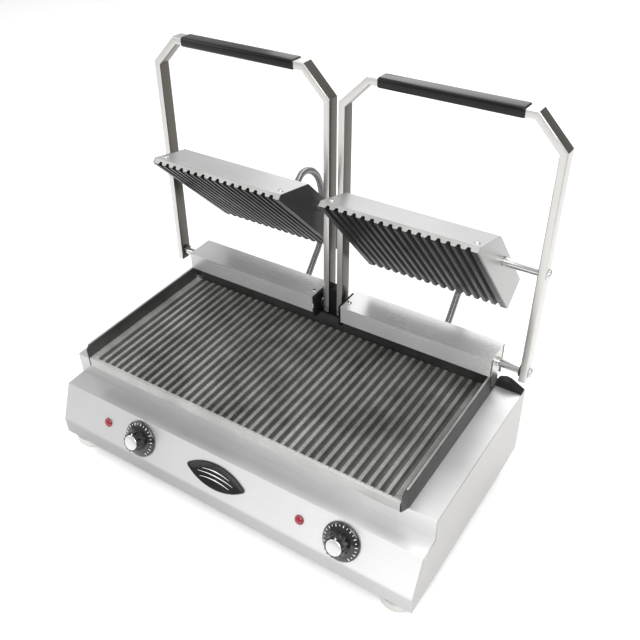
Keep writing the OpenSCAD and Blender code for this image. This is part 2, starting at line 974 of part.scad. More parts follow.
module upper_plate_section() {
    w = upper_rib_n * rib_pitch / 2;
    half = head_w / 2 - sheet;
    grooves = flatten([
        for (i = [0 : upper_rib_n - 2])
            groove_points(-w + (i + 1) * rib_pitch, head_crest, -rib_h, 1)
    ]);
    polygon(concat(
        [[-half, head_plate_top - gap], [-half, head_crest]],
        grooves,
        [[half, head_crest], [half, head_plate_top - gap]]
    ));
}

module upper_plate(x, tilt) {
    top = head_plate_top - gap;
    back = head_back - sheet - gap;
    color(dark_iron) place() on_head(x, tilt) difference() {
        union() {
            translate([0, back, 0]) rotate([90, 0, 0]) linear_extrude(head_front + back)
                upper_plate_section();
            for (s = [-1, 1]) {
                block(
                    s * lug_x - lug_t / 2, s * lug_x + lug_t / 2, -lug_d / 2, lug_d / 2,
                    top - 1, rod_d / 2 + 4
                );
            }
        }
        rod_x(-lug_x - lug_t, lug_x + lug_t, 0, 0, rod_d + 2 * fit);
    }
}

module upper_element(x, tilt) {
    color(dark_iron) place() on_head(x, tilt) for (y = [-52, 52]) {
        translate([0, y, head_plate_top + element_d / 2]) heater(130, 34, 2);
    }
}

module head_screws(x, tilt) {
    color(bright) place() on_head(x, tilt) for (s = [-1, 1]) {
        on_slope(s) {
            cylinder(d1 = 8, d2 = 6, h = 2);
            translate([0, 0, -6]) cylinder(d = 4, h = 6);
        }
    }
}

module head_gland(x, tilt, gland_x, gland_y) {
    z = top_at(gland_y);
    color(bright) place() on_head(x, tilt) translate([gland_x - x, gland_y, z]) difference() {
        union() {
            translate([0, 0, gap / 2]) cylinder(d = gland_d, h = gland_h, $fn = 6);
            translate([0, 0, -8]) cylinder(d = 9.6, h = 8 + gland_h - socket);
        }
        translate([0, 0, -9]) cylinder(d = 6, h = 30);
        translate([0, 0, gland_h - socket]) cylinder(d = conduit_d + 0.6, h = socket + 1);
    }
}

module left_head_cover() {
    head_cover(-head_x, left_tilt, left_gland_x, left_gland_y);
}

module left_head_sides() {
    head_sides(-head_x, left_tilt);
}

module left_upper_plate() {
    upper_plate(-head_x, left_tilt);
}

module left_upper_element() {
    upper_element(-head_x, left_tilt);
}

module left_head_screws() {
    head_screws(-head_x, left_tilt);
}

module left_head_gland() {
    head_gland(-head_x, left_tilt, left_gland_x, left_gland_y);
}

module right_head_cover() {
    head_cover(head_x, right_tilt, right_gland_x, right_gland_y);
}

module right_head_sides() {
    head_sides(head_x, right_tilt);
}

module right_upper_plate() {
    upper_plate(head_x, right_tilt);
}

module right_upper_element() {
    upper_element(head_x, right_tilt);
}

module right_head_screws() {
    head_screws(head_x, right_tilt);
}

module right_head_gland() {
    head_gland(head_x, right_tilt, right_gland_x, right_gland_y);
}

housing_shell();
left_side_panel();
right_side_panel();
bottom_panel();
rear_panel();
lower_plate();
lower_elements();
element_clamps();
heat_shield();
thermostats();
indicator_lamps();
badge_plate();
feet();
foot_screws();
corner_blocks();
cord_gland();
terminal_block();
left_box_cover();
right_box_cover();
outer_brackets();
inner_brackets();
hinge_bushes();
centre_block();
box_screws();
conduit_grommets();
left_conduit();
right_conduit();
left_spring();
right_spring();
left_arm_frame();
left_grip();
left_hinge_shaft();
left_hinge_washers();
left_pivot_rod();
left_dome_nuts();
right_arm_frame();
right_grip();
right_hinge_shaft();
right_hinge_washers();
right_pivot_rod();
right_dome_nuts();
left_head_cover();
left_head_sides();
left_upper_plate();
left_upper_element();
left_head_screws();
left_head_gland();
right_head_cover();
right_head_sides();
right_upper_plate();
right_upper_element();
right_head_screws();
right_head_gland();
left_dial();
left_dial_cap();
left_dial_spindle();
right_dial();
right_dial_cap();
right_dial_spindle();
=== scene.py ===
"""Looks of the double contact grill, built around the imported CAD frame. Metres, +Z up, front at -Y."""

import json
import math

import bmesh
import bpy
from mathutils import Matrix, Vector


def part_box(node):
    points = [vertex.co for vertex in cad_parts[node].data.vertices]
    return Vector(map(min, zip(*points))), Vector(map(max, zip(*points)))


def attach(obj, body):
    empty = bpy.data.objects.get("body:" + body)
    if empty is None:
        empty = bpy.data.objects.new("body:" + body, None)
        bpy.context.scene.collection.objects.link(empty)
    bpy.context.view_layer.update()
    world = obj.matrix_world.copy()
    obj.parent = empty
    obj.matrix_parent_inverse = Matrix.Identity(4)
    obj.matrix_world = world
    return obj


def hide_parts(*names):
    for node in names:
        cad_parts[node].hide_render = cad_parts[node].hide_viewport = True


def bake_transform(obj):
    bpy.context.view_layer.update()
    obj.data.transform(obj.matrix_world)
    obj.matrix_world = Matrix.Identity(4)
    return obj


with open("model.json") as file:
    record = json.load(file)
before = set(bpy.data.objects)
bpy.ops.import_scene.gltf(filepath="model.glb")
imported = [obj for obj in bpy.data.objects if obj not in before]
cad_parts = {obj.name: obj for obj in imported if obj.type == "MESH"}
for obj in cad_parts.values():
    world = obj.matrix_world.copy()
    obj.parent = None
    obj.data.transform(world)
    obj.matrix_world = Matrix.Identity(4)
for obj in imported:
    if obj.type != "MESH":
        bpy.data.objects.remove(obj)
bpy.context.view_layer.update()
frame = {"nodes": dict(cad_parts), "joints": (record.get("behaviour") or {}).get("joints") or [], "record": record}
nodes = frame["nodes"]
record = frame["record"]

MM = 0.001
SIDES = {"left": -1, "right": 1}

# ---- Places, from the frame ----

joints = {j["name"]: j for j in frame["joints"]}
couplings = {c["joint"]: c for c in record["behaviour"]["couplings"]}
case_lo, case_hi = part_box("left_side_panel")
plate_lo, plate_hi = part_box("lower_plate")
CASING = Vector((0, case_lo.y, case_lo.z))
HINGE = Vector(joints["left_arm_hinge"]["pos_m"])
ARM_SWING = joints["left_arm_hinge"]["range_deg"][1]
ARM_LEAN = math.radians(ARM_SWING - 90)
PIVOT = Vector(joints["left_head_pivot"]["pos_m"])
TILT = {
    side: math.radians(ARM_SWING * (1 + couplings[side + "_head_pivot"]["ratio"]))
    for side in SIDES
}
DIAL_AXIS = Vector(joints["left_dial_turn"]["axis"])
PANEL_LEAN = math.atan2(-DIAL_AXIS.z, DIAL_AXIS.y)
arm_lo, arm_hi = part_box("right_arm_frame")
head_lo, head_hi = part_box("right_head_sides")
HEAD_X = (head_lo.x + head_hi.x) / 2
HEAD_W = head_hi.x - head_lo.x


def rot_x(angle):
    return Matrix.Rotation(angle, 4, "X")


def at(x, y, z):
    """A point given in millimetres from the casing's bottom front edge."""
    return CASING + Vector((x, y, z)) * MM


arm_place = Matrix.Translation(HINGE) @ rot_x(-ARM_LEAN)


def head_place(side):
    """The head's own frame: origin on the pivot rod, -Y towards the front edge, +Z its top."""
    x = SIDES[side] * HEAD_X
    return Matrix.Translation(Vector((x, PIVOT.y, PIVOT.z))) @ rot_x(-TILT[side])


def panel_place(x):
    """On the control panel at x, with +Z out of the panel and +Y up its slope."""
    pos = Vector(joints["left_dial_turn"]["pos_m"])
    return Matrix.Translation(Vector((x, pos.y, pos.z))) @ rot_x(math.pi / 2 - PANEL_LEAN)


# ---- Materials ----


def new_material(name):
    m = bpy.data.materials.new(name)
    m.use_nodes = True
    t = m.node_tree
    return m, t, t.nodes["Principled BSDF"]


def put(tree, kind, **values):
    n = tree.nodes.new(kind)
    for key, value in values.items():
        if hasattr(n, key):
            setattr(n, key, value)
        else:
            n.inputs[key.replace("_", " ")].default_value = value
    return n


def coords(tree, scale):
    """Object coordinates, stretched by scale."""
    c = tree.nodes.new("ShaderNodeTexCoord")
    m = tree.nodes.new("ShaderNodeMapping")
    m.inputs["Scale"].default_value = scale
    tree.links.new(c.outputs["Object"], m.inputs["Vector"])
    return m.outputs["Vector"]


def noise(tree, scale, detail=4.0, stretch=(1, 1, 1), rough=0.55):
    n = put(tree, "ShaderNodeTexNoise", Scale=scale, Detail=detail, Roughness=rough)
    tree.links.new(coords(tree, stretch), n.inputs["Vector"])
    return n.outputs["Fac"]


def spread(tree, factor, low, high, start=0.3, end=0.7):
    """Maps a factor to a value between low and high."""
    m = put(tree, "ShaderNodeMapRange")
    m.inputs["From Min"].default_value = start
    m.inputs["From Max"].default_value = end
    m.inputs["To Min"].default_value = low
    m.inputs["To Max"].default_value = high
    tree.links.new(factor, m.inputs["Value"])
    return m.outputs["Result"]


def shades(tree, factor, stops):
    """Colour ramp through (position, grey or colour) stops."""
    r = tree.nodes.new("ShaderNodeValToRGB")
    while len(r.color_ramp.elements) < len(stops):
        r.color_ramp.elements.new(0.5)
    for e, (where, colour) in zip(r.color_ramp.elements, stops):
        e.position = where
        c = colour if isinstance(colour, tuple) else (colour,) * 3
        e.color = (*c, 1)
    tree.links.new(factor, r.inputs["Fac"])
    return r.outputs["Color"]


def bump(tree, shader, factor, strength, distance):
    b = put(tree, "ShaderNodeBump", Strength=strength, Distance=distance)
    tree.links.new(factor, b.inputs["Height"])
    tree.links.new(b.outputs["Normal"], shader.inputs["Normal"])


def mixed(tree, a, b, share):
    """Adds share of factor b to factor a."""
    m = put(tree, "ShaderNodeMath", operation="MULTIPLY_ADD")
    tree.links.new(b, m.inputs[0])
    m.inputs[1].default_value = share
    tree.links.new(a, m.inputs[2])
    return m.outputs[0]


def brushed(name, tone, rough, grain=(4, 260, 260), warm=0.0, depth=0.05, painted_light_fades=(), metallic=0.85):
    """Satin stainless steel, with its brushing along the axis whose grain number is small.

    Each painted-light fade is (axis, start, end, from, to): the tone is scaled by a share that changes along an
    axis, painting light and shade into the colour."""
    m, t, s = new_material(name)
    lines = noise(t, 1.0, 3.0, grain)
    cloud = noise(t, 7.0, 2.0)
    worn = mixed(t, cloud, lines, 0.35)
    dark = (tone * 0.93, tone * (0.93 - warm * 0.4), tone * (0.93 - warm))
    light = (tone * 1.05, tone * (1.05 - warm * 0.4), tone * (1.05 - warm))
    colour = shades(t, worn, [(0.4, dark), (0.95, light)])
    # Each fade scales the tone along one axis: painted light and shade, not a change in the steel.
    for axis, start, end, low, high in painted_light_fades:
        c = t.nodes.new("ShaderNodeTexCoord")
        sep = t.nodes.new("ShaderNodeSeparateXYZ")
        t.links.new(c.outputs["Object"], sep.inputs[0])
        change = spread(t, sep.outputs[axis], low, high, start, end)
        mix = put(t, "ShaderNodeVectorMath", operation="SCALE")
        t.links.new(colour, mix.inputs[0])
        t.links.new(change, mix.inputs["Scale"])
        colour = mix.outputs["Vector"]
    t.links.new(colour, s.inputs["Base Color"])
    t.links.new(spread(t, worn, rough * 0.85, rough * 1.15, 0.4, 0.95), s.inputs["Roughness"])
    s.inputs["Metallic"].default_value = metallic
    bump(t, s, lines, depth, 0.00002)
    return m


def cast(name, dark, light, rough, metallic, grain=700.0, depth=0.35, gloss=0.5):
    """Cast iron with a pitted skin and seasoned patches."""
    m, t, s = new_material(name)
    patches = noise(t, 16.0, 5.0)
    pits = noise(t, grain, 3.0)
    mottled = mixed(t, patches, pits, 0.5)
    middle = tuple((a + b) / 2 for a, b in zip(dark, light))
    colour = shades(t, mottled, [(0.5, dark), (0.75, middle), (1.0, light)])
    t.links.new(colour, s.inputs["Base Color"])
    t.links.new(spread(t, patches, rough * 0.85, rough * 1.2), s.inputs["Roughness"])
    s.inputs["Metallic"].default_value = metallic
    s.inputs["Specular IOR Level"].default_value = gloss
    bump(t, s, pits, depth, 0.00012)
    return m


def plastic(name, colour, rough, grain=900.0, depth=0.12, coat=0.0, gloss=0.5):
    """Moulded plastic or rubber with a fine grain and faint wear."""
    m, t, s = new_material(name)
    fine = noise(t, grain, 2.0)
    wear = noise(t, 25.0, 4.0)
    dark = tuple(c * 0.85 for c in colour)
    light = tuple(min(1.0, c * 1.15 + 0.004) for c in colour)
    t.links.new(shades(t, wear, [(0.35, dark), (0.7, light)]), s.inputs["Base Color"])
    t.links.new(spread(t, wear, rough * 0.8, rough * 1.3), s.inputs["Roughness"])
    s.inputs["Specular IOR Level"].default_value = gloss
    s.inputs["Coat Weight"].default_value = coat
    s.inputs["Coat Roughness"].default_value = 0.08
    bump(t, s, fine, depth, 0.00003)
    return m


def lamp_lens(name):
    """Red faceted lamp lens."""
    m, t, s = new_material(name)
    depthwise = noise(t, 160.0, 2.0)
    t.links.new(
        shades(t, depthwise, [(0.3, (0.16, 0.002, 0.01)), (0.7, (0.42, 0.008, 0.03))]),
        s.inputs["Base Color"],
    )
    t.links.new(spread(t, depthwise, 0.08, 0.2), s.inputs["Roughness"])
    s.inputs["Coat Weight"].default_value = 0.6
    s.inputs["Emission Color"].default_value = (0.5, 0.01, 0.03, 1)
    s.inputs["Emission Strength"].default_value = 0.04
    return m


MATERIALS = {
    # The casing is painted lighter from left to right and darker in a strip along its bottom edge: painted light
    # and painted shade.
    "stainless": brushed(
        "stainless", 0.58, 0.36, metallic=0.7,
        painted_light_fades=(("X", -0.15, 0.30, 0.92, 1.35), ("Z", 0.041, 0.046, 0.66, 1.0)),
    ),
    # The hinge box covers are painted lighter from left to right: painted light.
    "box_steel": brushed(
        "box_steel", 0.66, 0.28, metallic=0.45, depth=0.02, painted_light_fades=(("X", -0.28, 0.28, 0.85, 1.12),)
    ),
    "head_steel": brushed("head_steel", 0.60, 0.32, metallic=0.7),
    "side_steel": brushed("side_steel", 0.50, 0.36, (260, 6, 260), 0.05),
    "head_side": brushed("head_side", 0.40, 0.34, (260, 6, 260), 0.02),
    # Near-black copy of the head side steel, used on the left head's sides: painted shade.
    "head_side_painted_shade": brushed("head_side_painted_shade", 0.035, 0.45, (260, 6, 260), metallic=0.5),
    "arm_steel": brushed("arm_steel", 0.62, 0.32, (300, 300, 5), 0.05),
    # Much darker copy of the arm steel for the arms' side faces: painted shade.
    "arm_side": brushed("arm_side", 0.11, 0.30, (300, 300, 5), 0.18),
    "bright_steel": brushed("bright_steel", 0.60, 0.14, (3, 300, 300)),
    "lamp_rim": brushed("lamp_rim", 0.20, 0.25, (90, 90, 90)),
    "cap_steel": brushed("cap_steel", 0.70, 0.30, (300, 300, 300)),
    "zinc_sheet": brushed("zinc_sheet", 0.50, 0.42, (40, 40, 40)),
    "spring_steel": brushed("spring_steel", 0.36, 0.34, (60, 60, 60)),
    "conduit_steel": brushed("conduit_steel", 0.24, 0.20, (90, 90, 90), 0.02, metallic=1.0),
    "heater_tube": brushed("heater_tube", 0.22, 0.5, (40, 40, 40), 0.05),
    "bronze": brushed("bronze", 0.55, 0.3, (80, 80, 80), 0.3),
    "crest_iron": cast("crest_iron", (0.15, 0.15, 0.144), (0.40, 0.40, 0.385), 0.42, 0.35, 420.0, 0.8),
    "groove_iron": cast("groove_iron", (0.055, 0.055, 0.052), (0.17, 0.17, 0.163), 0.5, 0.35, 420.0, 0.8),
    # Near-black copy of the plate's cast iron for the rims' sides, the rear corner blocks and the back wall:
    # painted shade.
    "rim_iron": cast("rim_iron", (0.035, 0.035, 0.034), (0.085, 0.085, 0.083), 0.45, 0.4),
    "edge_iron": cast("edge_iron", (0.34, 0.34, 0.33), (0.52, 0.52, 0.505), 0.40, 0.5),
    "upper_iron": cast("upper_iron", (0.003, 0.003, 0.004), (0.014, 0.014, 0.015), 0.5, 0.0, gloss=0.2),
    "upper_crest": cast("upper_crest", (0.012, 0.012, 0.013), (0.05, 0.05, 0.05), 0.40, 0.3, gloss=0.3),
    "grip_black": plastic("grip_black", (0.004, 0.004, 0.005), 0.22, 500.0, 0.04, 0.1, 0.25),
    "dial_black": plastic("dial_black", (0.004, 0.004, 0.005), 0.12, 500.0, 0.02, 0.6),
    "badge_black": plastic("badge_black", (0.006, 0.006, 0.007), 0.25, 500.0, 0.03, 0.1, 0.3),
    "mark_white": plastic("mark_white", (0.85, 0.85, 0.85), 0.4, 900.0, 0.05),
    "black_rubber": plastic("black_rubber", (0.006, 0.006, 0.008), 0.5, 700.0, 0.2, gloss=0.25),
    "black_plastic": plastic("black_plastic", (0.010, 0.010, 0.012), 0.36, 800.0, 0.15),
    "white_plastic": plastic("white_plastic", (0.75, 0.74, 0.70), 0.45),
    "foot_rubber": plastic("foot_rubber", (0.66, 0.65, 0.62), 0.6, 600.0, 0.2),
    "black_steel": plastic("black_steel", (0.006, 0.006, 0.007), 0.40, 400.0, 0.15, gloss=0.25),
    "lamp_red": lamp_lens("lamp_red"),
}
EXTRA_LOOK = {
    "left_head_cover": "head_steel", "right_head_cover": "head_steel",
    "left_box_cover": "box_steel", "right_box_cover": "box_steel",
    "left_side_panel": "side_steel", "right_side_panel": "side_steel",
    # The left head's sides take the near-black painted-shade look and the right head's the light one; both are the
    # same steel.
    "left_head_sides": "head_side_painted_shade", "right_head_sides": "head_side",
}


# ---- Mesh helpers ----


def shade(obj, sharp=35.0):
    """Smooth shading that stays crisp at edges sharper than the given angle."""
    bm = bmesh.new()
    bm.from_mesh(obj.data)
    for f in bm.faces:
        f.smooth = True
    for e in bm.edges:
        e.smooth = len(e.link_faces) == 2 and e.calc_face_angle(0) < math.radians(sharp)
    bm.to_mesh(obj.data)
    bm.free()


def make(name, bm, looks, body, place=None, replaces=(), sharp=35.0):
    """Turns a bmesh into a piece that rides on a body, with its material slots in the order of looks."""
    bmesh.ops.recalc_face_normals(bm, faces=bm.faces)
    mesh = bpy.data.meshes.new(name)
    bm.to_mesh(mesh)
    bm.free()
    if place is not None:
        mesh.transform(place)
    obj = bpy.data.objects.new(name, mesh)
    bpy.context.scene.collection.objects.link(obj)
    for look in looks:
        mesh.materials.append(MATERIALS[look])
    shade(obj, sharp)
    if body:
        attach(obj, body)
    if replaces:
        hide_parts(*replaces)
    return obj


def add_loops(bm, rings, mat=0):
    """Skins a list of rings of points. Each ring is closed, and the first and last are capped."""
    rows = [[bm.verts.new(p) for p in ring] for ring in rings]
    n = len(rings[0])
    for a, b in zip(rows, rows[1:]):
        for i in range(n):
            j = (i + 1) % n
            f = bm.faces.new((a[i], a[j], b[j], b[i]))
            f.material_index = mat
    bm.faces.new(list(reversed(rows[0]))).material_index = mat
    bm.faces.new(rows[-1]).material_index = mat


def add_lathe(bm, outline, segments=48, place=None, mat=0):
    """Turns (radius, height) points around Z. A point on the axis closes the shape."""
    rows = []
    for r, h in outline:
        if r < 1e-7:
            rows.append([bm.verts.new((0, 0, h))])
        else:
            rows.append(
                [
                    bm.verts.new((r * math.cos(a), r * math.sin(a), h))
                    for a in (2 * math.pi * i / segments for i in range(segments))
                ]
            )
    made = [v for row in rows for v in row]
    for a, b in zip(rows, rows[1:]):
        for i in range(segments):
            j = (i + 1) % segments
            if len(a) == 1:
                f = bm.faces.new((a[0], b[i], b[j]))
            elif len(b) == 1:
                f = bm.faces.new((a[i], a[j], b[0]))
            else:
                f = bm.faces.new((a[i], a[j], b[j], b[i]))
            f.material_index = mat
    if place is not None:
        bmesh.ops.transform(bm, matrix=place, verts=made)
    return made


def arc(cx, cy, r, start, end, steps):
    """Points on an arc, angles in degrees."""
    return [
        (
            cx + r * math.cos(math.radians(start + (end - start) * i / steps)),
            cy + r * math.sin(math.radians(start + (end - start) * i / steps)),
        )
        for i in range(steps + 1)
    ]


def round_box_outline(w, h, r, steps=4):
    """Outline of a rounded rectangle around the origin."""
    x, y = w / 2 - r, h / 2 - r
    return (
        arc(x, y, r, 0, 90, steps)
        + arc(-x, y, r, 90, 180, steps)
        + arc(-x, -y, r, 180, 270, steps)
        + arc(x, -y, r, 270, 360, steps)
    )


def add_box(bm, lo, hi, mat=0, place=None):
    made = bmesh.ops.create_cube(bm, size=1.0)["verts"]
    size = Vector(hi) - Vector(lo)
    middle = (Vector(hi) + Vector(lo)) / 2
    for v in made:
        v.co = Vector(a * b for a, b in zip(v.co, size)) + middle
        for f in v.link_faces:
            f.material_index = mat
    if place is not None:
        bmesh.ops.transform(bm, matrix=place, verts=made)
    return made


# ---- Ribbed plates ----

RIB_PITCH = 12.8 * MM
GROOVE_HALF = 3.9 * MM
GROOVE_FLOOR = 1.2 * MM
RIB_DEPTH = 5.0 * MM
LOWER_GROOVES = 39
UPPER_GROOVES = 16


def groove_depth(offset):
    """Share of the full depth at a distance from the middle of a groove."""
    t = (GROOVE_HALF - abs(offset)) / (GROOVE_HALF - GROOVE_FLOOR)
    t = min(1.0, max(0.0, t))
    return t * t * (3 - 2 * t)


def rib_columns(half, count):
    """(x, depth share) columns across a plate with count grooves centred on it."""
    shares = (-1, -0.85, -0.68, -0.5, -0.3, 0, 0.3, 0.5, 0.68, 0.85, 1)
    columns = [(-half, 0.0)]
    for k in range(count):
        middle = (k - (count - 1) / 2) * RIB_PITCH
        columns += [(middle + s * GROOVE_HALF, groove_depth(s * GROOVE_HALF)) for s in shares]
    return columns + [(half, 0.0)]


def add_ribbed(bm, x_mid, half, count, rows, base):
    """Ribbed slab: rows are (y, rib height above the floor, floor height, share of groove depth).

    Faces get material 0 in the grooves and, as painted shade, all across rows where the ribs have dropped low, 1
    on the crests and 2 on the ends and where grooves run out."""
    columns = rib_columns(half, count)
    grid = []
    for y, crest, floor, deep in rows:
        heights = [max(floor, crest - RIB_DEPTH * d * deep) for _, d in columns]
        grid.append([bm.verts.new((x_mid + x, y, z)) for (x, _), z in zip(columns, heights)])
    under = [[bm.verts.new((x_mid + x, y, base)) for x, _ in columns] for y in (rows[0][0], rows[-1][0])]
    for k, (a, b) in enumerate(zip(grid, grid[1:])):
        # Rows where the ribs have dropped below most of their depth take the dark groove material all across:
        # painted shade at the rounded rib ends.
        low = min(rows[k][1] - rows[k][2], rows[k + 1][1] - rows[k + 1][2]) < 0.8 * RIB_DEPTH
        plain = rows[k][3] + rows[k + 1][3] < 0.1
        for i in range(len(columns) - 1):
            f = bm.faces.new((a[i], a[i + 1], b[i + 1], b[i]))
            crest_face = max(columns[i][1], columns[i + 1][1]) < 0.12
            f.material_index = 0 if low else 2 if plain else 1 if crest_face else 0
    for line, foot in ((grid[0], under[0]), (grid[-1], under[1])):
        for i in range(len(columns) - 1):
            bm.faces.new((line[i], line[i + 1], foot[i + 1], foot[i])).material_index = 2
    for i in range(len(columns) - 1):
        bm.faces.new((under[0][i], under[0][i + 1], under[1][i + 1], under[1][i])).material_index = 0
    for end in (0, -1):
        side = [row[end] for row in grid]
        bm.faces.new([under[0][end]] + side + [under[1][end]]).material_index = 2


def lower_plate():
    """Lower cast plate: a front bar, ribs that round down to the back wall, and two side rims."""
    bm = bmesh.new()
    front, back = plate_lo.y, plate_hi.y
    x_mid, half = (plate_lo.x + plate_hi.x) / 2, (plate_hi.x - plate_lo.x) / 2
    base = plate_lo.z
    crest, floor, shelf = base + 14.5 * MM, base + 8 * MM, base + 6 * MM
    wall_front, wall_back = at(0, 296, 0).y, at(0, 300, 0).y
    rib_end, fall = wall_front - 2 * MM, 5 * MM
    rows = [(front, crest - 1.0 * MM, floor, 0), (front + 0.3 * MM, crest - 0.3 * MM, floor, 0)]
    rows += [(front + a * MM, crest, floor, d) for a, d in
             ((1.0, 0), (5.6, 0), (6.3, 0.35), (7.3, 0.7), (8.8, 0.92), (11, 1))]
    straight = rib_end - fall - front
    rows += [(front + share * straight, crest, floor, 1) for share in (0.25, 0.5, 0.75, 1.0)]
    for k in range(1, 7):
        a = math.radians(15 * k)
        rows.append((rib_end - fall + fall * math.sin(a), floor + (crest - floor) * math.cos(a), floor, 1))
    rows.append((wall_front + 0.5 * MM, floor, floor, 1))
    add_ribbed(bm, x_mid, half - 5.5 * MM, LOWER_GROOVES, rows, base)
    rim_top, rim_back = plate_hi.z, at(0, 290, 0).y
    for s in (-1, 1):
        section = [
            (half, base), (half, rim_top - 1 * MM), (half - 1 * MM, rim_top), (half - 4 * MM, rim_top),
            (half - 5 * MM, rim_top - 1 * MM), (half - 5.8 * MM, crest + 1.5 * MM),
            (half - 7 * MM, crest - 0.2 * MM), (half - 7 * MM, base),
        ]
        rings = []
        corner = (
            (front, 4.7, 5.0), (front + 8 * MM, 1.6, 0.0), (front + 12 * MM, 0.0, 0.0), (rim_back, 0.0, 0.0),
        )
        for y, cut, drop in corner:
            limit, high = half - cut * MM, rim_top - drop * MM
            clipped = [(min(x, limit), min(z, high) if z > crest else z) for x, z in section]
            rings.append([Vector((x_mid + s * x, y, z)) for x, z in clipped])
        add_loops(bm, rings, mat=3)
        # The rims' top faces take the light edge material and their sides the near-black one: painted highlight on
        # the tops, painted shade on the sides.
        for f in bm.faces:
            if f.material_index == 3 and f.calc_center_median().z > rim_top - 0.4 * MM:
                f.material_index = 2
        a, b = x_mid + s * (half - 7 * MM), x_mid + s * half
        add_box(bm, (min(a, b), rim_back - 0.2 * MM, base), (max(a, b), back, shelf), 3)
    wall = 256.5 * MM
    add_box(bm, (-wall, wall_front, base + 0.2 * MM), (wall, wall_back, at(0, 0, 146).z), 3)
    # The shelf behind the wall takes the dark groove material: painted shade under the hinge boxes.
    inner = half - 6 * MM
    add_box(bm, (x_mid - inner, wall_back - 0.5 * MM, base), (x_mid + inner, back, shelf), 0)
    return make(
        "lower_grill_plate", bm, ["groove_iron", "crest_iron", "edge_iron", "rim_iron"],
        "base", replaces=["lower_plate"], sharp=40,
    )


def upper_plate(side):
    """Upper cast plate with its ribs downwards, a bright front edge and the two lugs for the pivot rod."""
    bm = bmesh.new()
    crest, top = 32.3 * MM, 23.8 * MM
    front, back = 102.5 * MM, 104 * MM
    half = HEAD_W / 2 - 1.3 * MM
    floor = crest - RIB_DEPTH
    rows = [(-front, crest - 0.8 * MM, floor, 1), (-front + 0.8 * MM, crest, floor, 1)]
    rows += [(y * MM, crest, floor, 1) for y in (-50, 0, 50, 102)]
    rows += [(back, crest - 1.5 * MM, floor, 1)]
    add_ribbed(bm, 0, half, UPPER_GROOVES, rows, top)
    for v in bm.verts:
        v.co.z = -v.co.z
    lug_x, lug_t, lug_r = 84 * MM, 12 * MM, 10 * MM
    for s in (-1, 1):
        outline = [(-15 * MM, -top)] + [(-lug_r * math.cos(a), lug_r * math.sin(a)) for a in
                   (math.radians(d) for d in range(0, 181, 15))] + [(15 * MM, -top)]
        rings = [[Vector((s * lug_x + e * lug_t / 2, y, z)) for y, z in outline] for e in (-1, 1)]
        add_loops(bm, rings, mat=0)
    return make(
        f"{side}_upper_grill_plate", bm, ["upper_iron", "upper_crest", "edge_iron"],
        f"{side}_head", head_place(side), [f"{side}_upper_plate"], 40,
    )


# ---- Arms ----


def mitred(path, offset):
    """Path moved sideways in its own XZ plane by offset, with mitred corners."""
    out = []
    for i, p in enumerate(path):
        before = (path[max(i, 1)] - path[max(i, 1) - 1]).normalized()
        after = (path[min(i + 1, len(path) - 1)] - path[min(i, len(path) - 2)]).normalized()
        n1, n2 = Vector((before.z, 0, -before.x)), Vector((after.z, 0, -after.x))
        out.append(p + (n1 + n2) * offset / (1 + n1.dot(n2)))
    return out


ARM_TUBE = (10 * MM, 20 * MM)
ARM_CORNER = 40 * MM


def arm_frame(side):
    """Arm of rectangular tube with mitred 45 degree corners and open lower ends."""
    s = SIDES[side]
    x0, x1 = arm_lo.x, arm_hi.x
    foot, top, c = -13 * MM, 354.5 * MM, ARM_CORNER
    path = [Vector(p) for p in (
        (x0, 0, foot), (x0, 0, top - c), (x0 + c, 0, top),
        (x1 - c, 0, top), (x1, 0, top - c), (x1, 0, foot),
    )]
    w, d = ARM_TUBE
    outline = round_box_outline(w, d, 1.6 * MM)
    lines = [(mitred(path, w / 2 + a), b) for a, b in outline]
    rings = [[Vector((s * line[i].x, b, line[i].z)) for line, b in lines] for i in range(len(path))]
    bm = bmesh.new()
    add_loops(bm, rings)
    for f in list(bm.faces):
        if len(f.verts) > 4:
            bmesh.ops.inset_individual(bm, faces=[f], thickness=1.5 * MM)
            bmesh.ops.translate(bm, vec=(0, 0, 10 * MM), verts=list(f.verts))
    bmesh.ops.recalc_face_normals(bm, faces=bm.faces)
    for f in bm.faces:
        # Faces pointing along X, except the arm's outermost face, take the darker arm material: painted shade on
        # the same steel as the front faces.
        outermost = abs(f.calc_center_median().x) > arm_hi.x - 1 * MM
        f.material_index = 1 if abs(f.normal.x) > 0.6 and not outermost else 0
    return make(
        f"{side}_arm", bm, ["arm_steel", "arm_side"], f"{side}_arm", arm_place,
        [f"{side}_arm_frame"], 30,
    )


def grip(side):
    """Black grip sleeve with rounded edges and ends."""
    s = SIDES[side]
    middle = (arm_lo.x + arm_hi.x) / 2
    length, w, d = 188 * MM, 13.6 * MM, 23.6 * MM
    bm = bmesh.new()
    stations = [(0, 1.4), (0.5, 0.7), (1.3, 0.25), (2.5, 0.0)]
    ends = [(-length / 2 + a * MM, b * MM) for a, b in stations]
    ends += [(-x, inset) for x, inset in reversed(ends)]
    rings = []
    for x, inset in ends:
        outline = round_box_outline(d - 2 * inset, w - 2 * inset, 4.2 * MM - inset, 6)
        rings.append([Vector((s * middle + x, a, 349.5 * MM + b)) for a, b in outline])
    add_loops(bm, rings)
    return make(
        f"{side}_grip_sleeve", bm, ["grip_black"], f"{side}_arm", arm_place,
        [f"{side}_grip"], 50,
    )


